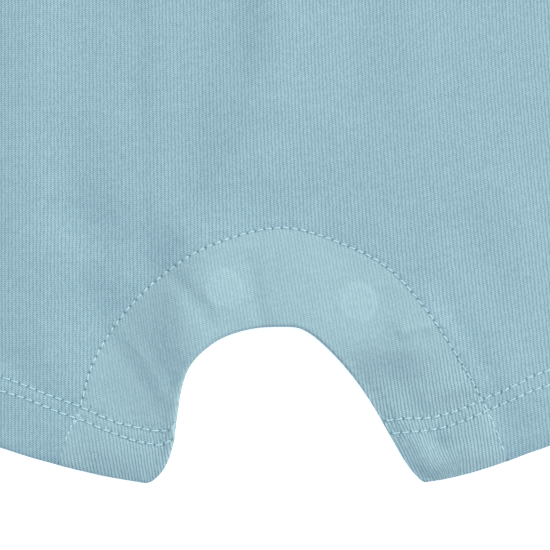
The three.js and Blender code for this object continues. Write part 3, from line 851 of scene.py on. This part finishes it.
def sleeve_rows(side, folds_table):
    """Lines on the outside of a sleeve, all round it, where its hem is stitched."""
    middle, thick, knit = sleeve_middle(side, folds_table)
    length, normal = knit[0, :, 1], loop_normals(middle)
    if normal[len(normal) // 5, len(length) // 2, 2] < 0:
        normal = -normal
    outer = middle + normal * (thick / 2)[..., None]
    found = []
    for row in SLEEVE_ROWS:
        column = int(np.abs(length - (SLEEVE_LENGTH - row)).argmin())
        line = outer[:, column]
        found.append(np.vstack([line, line[:1]]))
    return found


# -------------------- neckband


def neckband_middle():
    """Middle surface of the neckband, round it and from its seam to its free edge, and its
    knit."""
    across = rows_across(NECK_BAND, [], 1.0)
    share = across / NECK_BAND
    high, low = 1.5 * DOUBLE + LAYER_GAP, DOUBLE / 2
    radius, centre = (high - low) / 2, (high + low) / 2
    inset = DOUBLE / 2 + radius
    seam_half, edge_half = NECK_HALF + SEAM_OVERLAP, NECK_HALF - NECK_BAND

    def ends(drop):
        seam = math.asin(min(0.9, inset / drop))
        edge = math.asin(min(0.9, inset / (drop - NECK_BAND + NECK_RISE)))
        return seam + (edge - seam) * share

    def point(angle, drop):
        half = seam_half + (edge_half - seam_half) * share
        deep = drop + SEAM_OVERLAP + (NECK_RISE - NECK_BAND) * share
        height = NECK_HEIGHT + NECK_RISE * share
        return np.column_stack([half * np.cos(angle), height - deep * np.sin(angle)])

    loops = []
    for drop, level, forward in ((FRONT_NECK_DROP, high, True), (BACK_NECK_DROP, low, False)):
        first = ends(drop)
        for step in np.linspace(0, 1, 110):
            angle = first + (math.pi - 2 * first) * (1 - step if forward else step)
            loops.append(np.column_stack([point(angle, drop), np.full(len(share), level)]))
        side = loops[-1][:, :2]
        other = ends(BACK_NECK_DROP if forward else FRONT_NECK_DROP)
        landing = point(other if forward else math.pi - other,
                        BACK_NECK_DROP if forward else FRONT_NECK_DROP)
        for turn in np.linspace(0, math.pi, 12)[1:-1]:
            mix = (1 - math.cos(turn)) / 2
            place = side + (landing - side) * mix + (0, radius * math.sin(turn))
            rise = math.cos(turn) * (1 if forward else -1)
            loops.append(np.column_stack([place, np.full(len(share), centre + radius * rise)]))
    middle = np.array(loops)
    return middle, knit_round(middle[:, 0], across)


# -------------------- node trees


class Wire:
    """A node's output socket that sums can be written with."""

    def __init__(self, maker, socket):
        self.maker, self.socket = maker, socket

    def maths(self, operation, *values):
        return self.maker.maths(operation, *values)

    def __add__(self, other):
        return self.maths("ADD", self, other)

    def __radd__(self, other):
        return self.maths("ADD", other, self)

    def __sub__(self, other):
        return self.maths("SUBTRACT", self, other)

    def __rsub__(self, other):
        return self.maths("SUBTRACT", other, self)

    def __mul__(self, other):
        return self.maths("MULTIPLY", self, other)

    def __rmul__(self, other):
        return self.maths("MULTIPLY", other, self)

    def __truediv__(self, other):
        return self.maths("DIVIDE", self, other)

    def __pow__(self, other):
        return self.maths("POWER", self, other)

    def __abs__(self):
        return self.maths("ABSOLUTE", self)


class Nodes:
    """Adds nodes to a tree."""

    def __init__(self, tree):
        self.tree = tree

    def plug(self, value, socket):
        """Give a socket a value, or a link from a wire or from a node's first output."""
        if isinstance(value, bpy.types.Node):
            value = self.out(value)
        if isinstance(value, Wire):
            self.tree.links.new(value.socket, socket)
        else:
            socket.default_value = value

    def node(self, kind, settings=None, **values):
        """A node with its settings, then its sockets' values or links. A socket is named by
        its name in lower case with _ for spaces, or by in0, in1 and so on."""
        made = self.tree.nodes.new(kind)
        for name, value in (settings or {}).items():
            setattr(made, name, value)
        for name, value in values.items():
            if name.startswith("in") and name[2:].isdigit():
                socket = made.inputs[int(name[2:])]
            else:
                socket = next(s for s in made.inputs
                              if s.enabled and s.name.lower().replace(" ", "_") == name)
            self.plug(value, socket)
        return made

    def out(self, made, name=0):
        return Wire(self, made.outputs[name])

    def maths(self, operation, *values):
        sockets = {f"in{i}": value for i, value in enumerate(values)}
        return self.out(self.node("ShaderNodeMath", {"operation": operation}, **sockets))

    def noise(self, where, scale, detail, roughness=0.5):
        return self.out(self.node("ShaderNodeTexNoise", vector=where, scale=scale,
                                  detail=detail, roughness=roughness))

    def step(self, low, high, value):
        ramp = self.node("ShaderNodeMapRange", {"interpolation_type": "SMOOTHSTEP"},
                         value=value, from_min=low, from_max=high)
        return self.out(ramp)

    def mix(self, factor, first, second):
        made = self.node("ShaderNodeMix", {"data_type": "RGBA"})
        for name, value in (("Factor_Float", factor), ("A_Color", first), ("B_Color", second)):
            self.plug(value, next(s for s in made.inputs if s.identifier == name))
        return Wire(self, next(s for s in made.outputs if s.identifier == "Result_Color"))


def new_material(name, roughness, **values):
    """A material with one Principled shader, and its tree's maker."""
    material = bpy.data.materials.new(name)
    material.use_nodes = True
    material.node_tree.nodes.clear()
    maker = Nodes(material.node_tree)
    shader = maker.node("ShaderNodeBsdfPrincipled")
    shader.inputs["Roughness"].default_value = roughness
    for name, value in values.items():
        shader.inputs[name.replace("_", " ").title()].default_value = value
    output = maker.node("ShaderNodeOutputMaterial", surface=shader)
    output.is_active_output = True
    return material, maker, shader


def finish_surface(maker, shader, colour, height, depth):
    """Join the colour, and a bump of a height in metres, to a shader."""
    bump = maker.node("ShaderNodeBump", distance=depth, height=height)
    maker.plug(bump, shader.inputs["Normal"])
    maker.plug(colour, shader.inputs["Base Color"])


def shade(colour, factor):
    """A colour made lighter or darker, its red the most: the copies that the cloth's painted light
    and shade are mixed from, and the tone of the thread and the snaps.
    """
    shades = (1 + (factor - 1) * share for share in (1.3, 1.08, 1.0))
    return tuple(max(c * k, 0.01) for c, k in zip(colour, shades)) + (1,)


def new_cloth(name):
    """A material for matt cotton, its tree's maker, its shader, where its points lie in the
    knit, and that place's three parts."""
    material, maker, shader = new_material(name, 0.86, sheen_weight=0.18, sheen_roughness=0.45)
    shader.inputs["Sheen Tint"].default_value = (0.86, 0.93, 0.96, 1)
    shader.inputs["Specular IOR Level"].default_value = 0.22
    knit = maker.node("ShaderNodeAttribute", {"attribute_name": "knit"})
    place = maker.out(knit, "Vector")
    parts = maker.node("ShaderNodeSeparateXYZ", vector=place)
    return material, maker, shader, place, [maker.out(parts, axis) for axis in "XYZ"]


def rounded_rib(maker, column):
    """A column's place across itself, 0 at its middle, and its round height."""
    across = abs(maker.maths("FRACT", column) * 2 - 1)
    return across, maker.maths("SQRT", maker.maths("MAXIMUM", 1 - across * across, 0.0))


def jersey_material(name, colour, wale, course, contrast, low=0.0):
    """Fine single jersey: columns of V stitches, a wale apart, in rows a course apart. The
    stitches stand out by contrast, and their columns by low more towards the hems."""
    material, maker, shader, place, (u, v, hole) = new_cloth(name)

    def noise(scale, detail, roughness=0.5, where=place):
        return maker.noise(where, scale, detail, roughness) - 0.5

    column = (u + noise(0.35, 2.0) * 0.5) / wale
    across, rib = rounded_rib(maker, column)
    row = (v + noise(0.5, 2.0) * 0.3) / course + (1 - across) * 0.8
    strand = maker.maths("COSINE", row * (2 * math.pi)) * 0.5 + 0.5
    leg = maker.maths("FLOOR", column * 2)
    loop = maker.node("ShaderNodeCombineXYZ", x=leg, y=maker.maths("FLOOR", row))
    uneven = maker.out(maker.node("ShaderNodeTexWhiteNoise", {"noise_dimensions": "2D"},
                                  vector=loop)) - 0.5
    # Painted light: the left leg of each stitch, which faces the key light, is made lighter than
    # the right one.
    key_lit_left_leg = maker.maths("LESS_THAN", maker.maths("FRACT", column), 0.5) - 0.5
    fuzz = noise(2.6, 4.0, 0.7)
    # Painted shade and light: the wales' rounded tops are made lighter, and the gaps between the
    # wales and between the rows of loops darker; uneven and fuzz are the yarn's own tone, at
    # random.
    columns = (rib - 0.785) * 0.46 + key_lit_left_leg * 0.1 + fuzz * 0.1
    rows = (strand - 0.5) * 0.44 + uneven * 0.14
    bright = columns * (maker.step(8.0, 26.0, 0 - v) * low + contrast) + rows * contrast
    along_rows = maker.node("ShaderNodeCombineXYZ", x=u * 0.1, y=v)
    bright = bright + noise(0.9, 2.0, where=along_rows) * 0.1
    # Painted highlight: the cloth over the snaps' raised discs is made lighter, as light falls on
    # their tops.
    bright = bright + maker.maths("MAXIMUM", 0 - hole, 0.0) * 0.06
    mixed = maker.mix(bright / 1.5 + 0.5, shade(colour, 0.25), shade(colour, 1.75))
    # Painted shade: the cloth is darkened in the needle holes, where shade falls.
    final = maker.mix(hole * 0.8, mixed, shade(colour, 0.25))
    height = rib * 0.6 + strand * 0.4 + fuzz * 0.6
    finish_surface(maker, shader, final, height, 0.12 * MM)
    return material


def rib_material(name, colour, pitch):
    """A 1 x 1 rib: rounded ridges a pitch apart."""
    material, maker, shader, place, (u, v, _) = new_cloth(name)
    across, rib = rounded_rib(maker, u / pitch)
    loop = maker.maths("COSINE", (v / 0.6 + across * 0.5) * (2 * math.pi))
    fuzz = maker.noise(place, 2.6, 4.0, 0.7)
    # Painted shade: the ribs' rounded tops are made lighter and the hollows between them darker.
    tone = maker.step(0.0, 1.0, rib * 0.9 + loop * 0.06 + fuzz * 0.2)
    mixed = maker.mix(tone, shade(colour, 0.5), shade(colour, 1.16))
    finish_surface(maker, shader, mixed, rib + loop * 0.12 + fuzz * 0.3, 0.3 * MM)
    return material


def thread_material(name, colour):
    """Spun polyester sewing thread, a little shinier than the cloth."""
    material, maker, shader = new_material(name, 0.6, sheen_weight=0.2, sheen_roughness=0.4)
    place = maker.out(maker.node("ShaderNodeTexCoord"), "Object")
    strand = maker.noise(place, 2600.0, 3.0)
    mixed = maker.mix(strand, shade(colour, 0.72), shade(colour, 1.12))
    finish_surface(maker, shader, mixed, strand, 0.05 * MM)
    return material


def nickel_material(name, colour):
    """Plated brass, finely brushed."""
    material, maker, shader = new_material(name, 0.32, metallic=1.0)
    place = maker.out(maker.node("ShaderNodeTexCoord"), "Object")
    grain = maker.noise(place, 900.0, 4.0)
    mixed = maker.mix(grain, shade(colour, 0.82), shade(colour, 1.05))
    finish_surface(maker, shader, mixed, grain, 0.02 * MM)
    return material


# -------------------- stitches


def stitch_tree(material):
    """Turns lines into lockstitches: each stitch rises out of a hole and dips into the next."""
    tree = bpy.data.node_groups.new("lockstitches", "GeometryNodeTree")
    sockets = (
        ("Geometry", "NodeSocketGeometry", None), ("Thread Radius", "NodeSocketFloat", 0.2 * MM),
        ("Rise", "NodeSocketFloat", 0.2 * MM), ("Slant", "NodeSocketFloat", 0.15 * MM),
        ("Tuck", "NodeSocketFloat", 0.5), ("Points per Stitch", "NodeSocketInt", PER_STITCH),
        ("Seed", "NodeSocketInt", 1),
    )
    for name, kind, default in sockets:
        made = tree.interface.new_socket(name, in_out="INPUT", socket_type=kind)
        if default is not None:
            made.default_value = default
    tree.interface.new_socket("Geometry", in_out="OUTPUT", socket_type="NodeSocketGeometry")
    maker = Nodes(tree)
    given = maker.node("NodeGroupInput")
    lines = maker.node("GeometryNodeMeshToCurve", mesh=maker.out(given, "Geometry"))
    index = maker.out(maker.node("GeometryNodeSplineParameter"), "Index")
    place = index / maker.out(given, "Points per Stitch") + 0.0001
    share = maker.maths("FRACT", place)
    arch = maker.maths("SINE", share * math.pi)
    rise = (maker.maths("MAXIMUM", arch, 0.0) ** maker.out(given, "Tuck") - 0.72)
    rise = rise * maker.out(given, "Rise")
    chance = maker.node("FunctionNodeRandomValue", {"data_type": "FLOAT"},
                        id=maker.maths("FLOOR", place), seed=maker.out(given, "Seed"))
    wander = next(s for s in chance.outputs if s.enabled)
    slant = (0.5 - share) * (Wire(maker, wander) + 0.6) * maker.out(given, "Slant")
    tangent = maker.node("GeometryNodeInputTangent")
    sideways = maker.node("ShaderNodeVectorMath", {"operation": "CROSS_PRODUCT"},
                          in0=tangent, in1=(0.0, 0.0, 1.0))
    shift = maker.node("ShaderNodeVectorMath", {"operation": "SCALE"}, in0=sideways, scale=slant)
    upward = maker.node("ShaderNodeCombineXYZ", z=rise)
    moved = maker.node("ShaderNodeVectorMath", {"operation": "ADD"}, in0=shift, in1=upward)
    sewn = maker.node("GeometryNodeSetPosition", geometry=lines, offset=moved)
    ring = maker.node("GeometryNodeCurvePrimitiveCircle", {"mode": "RADIUS"},
                      resolution=6, radius=maker.out(given, "Thread Radius"))
    thread = maker.node("GeometryNodeCurveToMesh", curve=sewn, profile_curve=ring,
                        fill_caps=True)
    real = maker.node("GeometryNodeRealizeInstances", geometry=thread)
    dyed = maker.node("GeometryNodeSetMaterial", geometry=real, material=material)
    maker.node("NodeGroupOutput", geometry=dyed)
    return tree


def sew(name, rows, height_of, rise, seed, tuck=0.45):
    """Stitches along rows. Each row is a flat line with its pitch, laid on height_of, or a
    line that has its own heights. The higher tuck is, the shorter its stitches look."""
    settings = bpy.context.scene.romper_stitches
    points, edges = [], []
    for line, pitch in rows:
        length = np.linalg.norm(np.diff(line, axis=0), axis=1).sum()
        fine = resampled(line, length / (max(1, round(length / pitch)) * PER_STITCH))
        if fine.shape[1] == 2:
            fine = np.column_stack([fine, height_of(fine)])
        edges += [(len(points) + i, len(points) + i + 1) for i in range(len(fine) - 1)]
        points += (fine * MM + (0, CROTCH_Y, 0)).tolist()
    mesh = bpy.data.meshes.new(name + "_path")
    mesh.from_pydata(points, edges, [])
    path = placed_object(name + "_path", mesh)
    modifier = path.modifiers.new("stitches", "NODES")
    tree = stitch_tree(materials()["thread"])
    values = {"Thread Radius": settings.thread / 2, "Rise": rise * MM, "Slant": settings.slant,
              "Points per Stitch": PER_STITCH, "Seed": seed, "Tuck": tuck}
    modifier.node_group = tree
    for item in tree.interface.items_tree:
        if item.in_out == "INPUT" and item.name in values:
            modifier[item.identifier] = values[item.name]
    graph = bpy.context.evaluated_depsgraph_get()
    plain = bpy.data.meshes.new_from_object(path.evaluated_get(graph))
    path.modifiers.clear()
    bpy.data.objects.remove(path)
    plain.name = name
    for polygon in plain.polygons:
        polygon.use_smooth = True
    return placed_object(name, plain)


# -------------------- settings


def length_setting(name, description, default):
    """A setting that is a small length."""
    return FloatProperty(name=name, description=description, default=default, unit="LENGTH",
                         precision=5)


def colour_setting(name, description, default):
    return FloatVectorProperty(name=name, description=description, default=default, size=3,
                               subtype="COLOR")


class KnitSettings(bpy.types.PropertyGroup):
    """Sizes and colours of the cloth."""

    wale: length_setting("Wale", "Distance between columns of stitches", 0.9 * MM)
    course: length_setting("Course", "Distance between rows of stitches", 0.55 * MM)
    rib: length_setting("Rib", "Distance between the neckband's ribs", 1.6 * MM)
    body: colour_setting("Body", "Colour of the body and the sleeves", (0.287, 0.445, 0.531))
    band: colour_setting("Band", "Colour of the crotch bands", (0.316, 0.477, 0.552))
    neck: colour_setting("Neckband", "Colour of the ribbed neckband", (0.282, 0.437, 0.518))
    thread: colour_setting("Thread", "Colour of the sewing thread", (0.56, 0.78, 0.88))
    nickel: colour_setting("Snaps", "Colour of the snaps' plating", (0.72, 0.73, 0.74))


class StitchSettings(bpy.types.PropertyGroup):
    """Sizes of the sewing."""

    seam_pitch: length_setting("Seam Stitch", "Length of a stitch on the arch", 2.25 * MM)
    hem_pitch: length_setting("Hem Stitch", "Length of a stitch on a hem", 2.4 * MM)
    thread: length_setting("Thread", "Diameter of the thread", 0.36 * MM)
    slant: length_setting("Slant", "How far a stitch leans off its row", 0.2 * MM)
    seed: IntProperty(name="Seed", description="Which pattern the uneven stitches take",
                      default=7)


class StageSettings(bpy.types.PropertyGroup):
    """Light and camera."""

    key: FloatProperty(name="Key Light", description="Power of the light at the upper right",
                       default=48.1, unit="POWER")
    key_colour: colour_setting("Key Colour", "Warm", (1.0, 0.90, 0.74))
    fill: FloatProperty(name="Overhead Light", description="Power of the light overhead",
                        default=19.3, unit="POWER")
    fill_colour: colour_setting("Overhead Colour", "Slightly cool", (0.86, 0.96, 1.06))
    world: FloatProperty(name="Surroundings", description="Strength of the pale surroundings",
                         default=0.325)
    world_colour: colour_setting("Surroundings Colour", "Cool", (0.78, 0.96, 1.1))
    floor: colour_setting("Floor", "Colour of the surface", (0.93, 0.93, 0.93))
    glow: FloatProperty(name="Floor Glow", description="Light through the white surface",
                        default=0.58)
    aim: FloatVectorProperty(name="Aim", description="What the camera looks at, on the cloth",
                             default=(-3.1 * MM, CROTCH_Y + 13.4 * MM, 4.1 * MM), size=3,
                             subtype="TRANSLATION")
    width: length_setting("Framed Width", "Width of cloth in the camera's frame", 142 * MM)
    lens: FloatProperty(name="Lens", description="Focal length on a 36 mm sensor",
                        default=85.0, min=1)


# -------------------- operators

made_materials = {}


def materials():
    """The finishes, made once from the settings."""
    if not made_materials:
        knit = bpy.context.scene.romper_knit
        pitches = knit.wale / MM, knit.course / MM
        made_materials.update(
            body=jersey_material("body_jersey", knit.body, *pitches, 1.0),
            band=jersey_material("band_jersey", knit.band, *pitches, 0.68, 0.8),
            neck=rib_material("rib", knit.neck, knit.rib / MM),
            thread=thread_material("thread", knit.thread),
            snap=nickel_material("snap_metal", knit.nickel),
        )
    return made_materials


def give_material(piece, material):
    """Give a piece one material in place of those that it has."""
    piece.data.materials.clear()
    piece.data.materials.append(materials()[material])


def dress(piece, material, node=None):
    """Turn a piece's faces outwards, give it its material and its body, and hide the node it
    replaces.
    """
    face_outwards(piece.data)
    give_material(piece, material)
    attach(piece, "root")
    if node:
        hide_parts(node)


def lay_panel(front, in_band):
    """Make a panel, and dress it in place of the node it stands for."""
    name = "band_cloth" if in_band else "cloth"
    side = "front" if front else "back"
    cloth, (size, area) = make_panel(f"{side}_{name}", front, in_band)
    if in_band:
        dress(cloth, "band", f"crotch_band_{side}")
    else:
        dress(cloth, "body", f"{side}_body")


class ROMPER_OT_bodies(bpy.types.Operator):
    """Make the front and the back"""

    bl_idname = "romper.bodies"
    bl_label = "Front and Back"

    def execute(self, context):
        for front in (True, False):
            lay_panel(front, False)
        return {"FINISHED"}


class ROMPER_OT_bands(bpy.types.Operator):
    """Make the two crotch bands"""

    bl_idname = "romper.bands"
    bl_label = "Crotch Bands"

    def execute(self, context):
        for front in (True, False):
            lay_panel(front, True)
        return {"FINISHED"}


class ROMPER_OT_sleeves(bpy.types.Operator):
    """Make the two sleeves"""

    bl_idname = "romper.sleeves"
    bl_label = "Sleeves"

    def execute(self, context):
        for name, side, table in SLEEVES:
            middle, thick, knit = sleeve_middle(side, table)
            cloth = cloth_tube(f"sleeve_{name}_cloth", middle, thick, knit)
            dress(cloth, "body", f"sleeve_{name}")
            area = surface_area(middle)
            width = 2 * max(CUFF_WIDTH, np.linalg.norm(armhole[-1] - armhole[0])) * MM
        return {"FINISHED"}


class ROMPER_OT_neckband(bpy.types.Operator):
    """Make the ribbed neckband"""

    bl_idname = "romper.neckband"
    bl_label = "Neckband"

    def execute(self, context):
        middle, knit = neckband_middle()
        cloth = cloth_tube("neckband_cloth", middle, DOUBLE, knit)
        dress(cloth, "neck", "neckband")
        area = surface_area(middle)
        length = steps_round(middle[:, 0]).sum()
        return {"FINISHED"}


class ROMPER_OT_stitching(bpy.types.Operator):
    """Sew the arches, the leg hems and the sleeve hems"""

    bl_idname = "romper.stitching"
    bl_label = "Stitching"

    def execute(self, context):
        settings = context.scene.romper_stitches
        seed, hem = settings.seed, settings.hem_pitch / MM
        rows = front_rows()

        def on_front(points):
            return front_face(points, rows)

        def under_back(points):
            return back_under(points, rows) + 0.02

        tack = [(BACKTACK, 1.5), (BACKTACK[:2] + (0.5, 0.1), 1.7), (seam_end(), 2.2)]
        pieces = [
            ("arch_stitches", rows[:1] + tack, on_front, 0.6, 1.1),
            ("hem_stitches", rows[1:], on_front, 0.6, 0.65),
            ("back_stitches", rows, under_back, -0.12, 0.45),
        ]
        for name, sewn, height, rise, tuck in pieces:
            dress(sew(name, sewn, height, rise, seed, tuck), "thread")
            seed += 1
        for name, side, table in SLEEVES:
            sewn = [(line, hem) for line in sleeve_rows(side, table)]
            dress(sew(f"sleeve_{name}_stitches", sewn, None, 0.2, seed), "thread")
            seed += 1
        return {"FINISHED"}


class ROMPER_OT_snaps(bpy.types.Operator):
    """Finish the snaps between the crotch bands"""

    bl_idname = "romper.snaps"
    bl_label = "Snaps"

    def execute(self, context):
        for kind in ("socket", "stud"):
            for side in ("left", "right"):
                give_material(bpy.data.objects[f"snap_{kind}_{side}"], "snap")
        return {"FINISHED"}


def soft_light(name, place, target, size, power, colour):
    data = bpy.data.lights.new(name, "AREA")
    data.shape, data.size, data.energy, data.color = "DISK", size, power, colour
    lamp = placed_object(name, data)
    lamp.location = place
    lamp.rotation_euler = (place - target).to_track_quat("Z", "Y").to_euler()


class ROMPER_OT_stage(bpy.types.Operator):
    """Set the floor, the light and the camera"""

    bl_idname = "romper.stage"
    bl_label = "Stage"

    def execute(self, context):
        scene, settings = context.scene, context.scene.romper_stage
        scene.view_settings.view_transform = "Standard"
        far = 4.0
        mesh = bpy.data.meshes.new("floor")
        mesh.from_pydata([(-far, -far, 0), (far, -far, 0), (far, far, 0), (-far, far, 0)], [],
                         [(0, 1, 2, 3)])
        floor = placed_object("floor", mesh)
        paint, _, shader = new_material("floor_paint", 0.9)
        shader.inputs["Base Color"].default_value = (*settings.floor, 1)
        shader.inputs["Specular IOR Level"].default_value = 0.0
        shader.inputs["Emission Color"].default_value = (1, 1, 1, 1)
        shader.inputs["Emission Strength"].default_value = settings.glow
        mesh.materials.append(paint)
        world = bpy.data.worlds.new("surroundings")
        world.use_nodes = True
        background = world.node_tree.nodes["Background"]
        background.inputs["Color"].default_value = (*settings.world_colour, 1)
        background.inputs["Strength"].default_value = settings.world
        scene.world = world
        aim = Vector(settings.aim)
        soft_light("key", aim + Vector((1.15, 1.15, 1.75)), aim, 0.8, settings.key,
                   settings.key_colour)
        soft_light("overhead", aim + Vector((0, 0, 2.4)), aim, 1.6, settings.fill,
                   settings.fill_colour)
        data = bpy.data.cameras.new("camera")
        data.lens = settings.lens
        data.sensor_width = 36
        camera = placed_object("camera", data)
        away = settings.width * settings.lens / data.sensor_width
        camera.location = aim + Vector((0, 0, away))
        scene.camera = camera
        scene.cycles.denoising_prefilter = "NONE"
        return {"FINISHED"}


class ROMPER_PT_panel(bpy.types.Panel):
    """The romper's pieces"""

    bl_idname = "ROMPER_PT_panel"
    bl_label = "Short Romper"
    bl_space_type = "VIEW_3D"
    bl_region_type = "UI"
    bl_category = "Romper"

    def draw(self, context):
        for operator in OPERATORS:
            self.layout.operator(operator.bl_idname)
        for name in SETTINGS:
            group = getattr(context.scene, name)
            for prop in type(group).__annotations__:
                self.layout.prop(group, prop)


OPERATORS = (
    ROMPER_OT_stage, ROMPER_OT_bodies, ROMPER_OT_bands, ROMPER_OT_sleeves, ROMPER_OT_neckband,
    ROMPER_OT_snaps, ROMPER_OT_stitching,
)
SETTINGS = {
    "romper_knit": KnitSettings,
    "romper_stitches": StitchSettings,
    "romper_stage": StageSettings,
}


def register():
    for kind in (*SETTINGS.values(), *OPERATORS, ROMPER_PT_panel):
        bpy.utils.register_class(kind)
    for name, group in SETTINGS.items():
        setattr(bpy.types.Scene, name, PointerProperty(type=group))


def unregister():
    for name in SETTINGS:
        delattr(bpy.types.Scene, name)
    for kind in reversed((*SETTINGS.values(), *OPERATORS, ROMPER_PT_panel)):
        bpy.utils.unregister_class(kind)


def main():
    register()
    for operator in OPERATORS:
        group, name = operator.bl_idname.split(".")
        getattr(getattr(bpy.ops, group), name)()
    bpy.context.view_layer.update()


if __name__ == "__main__":
    main()
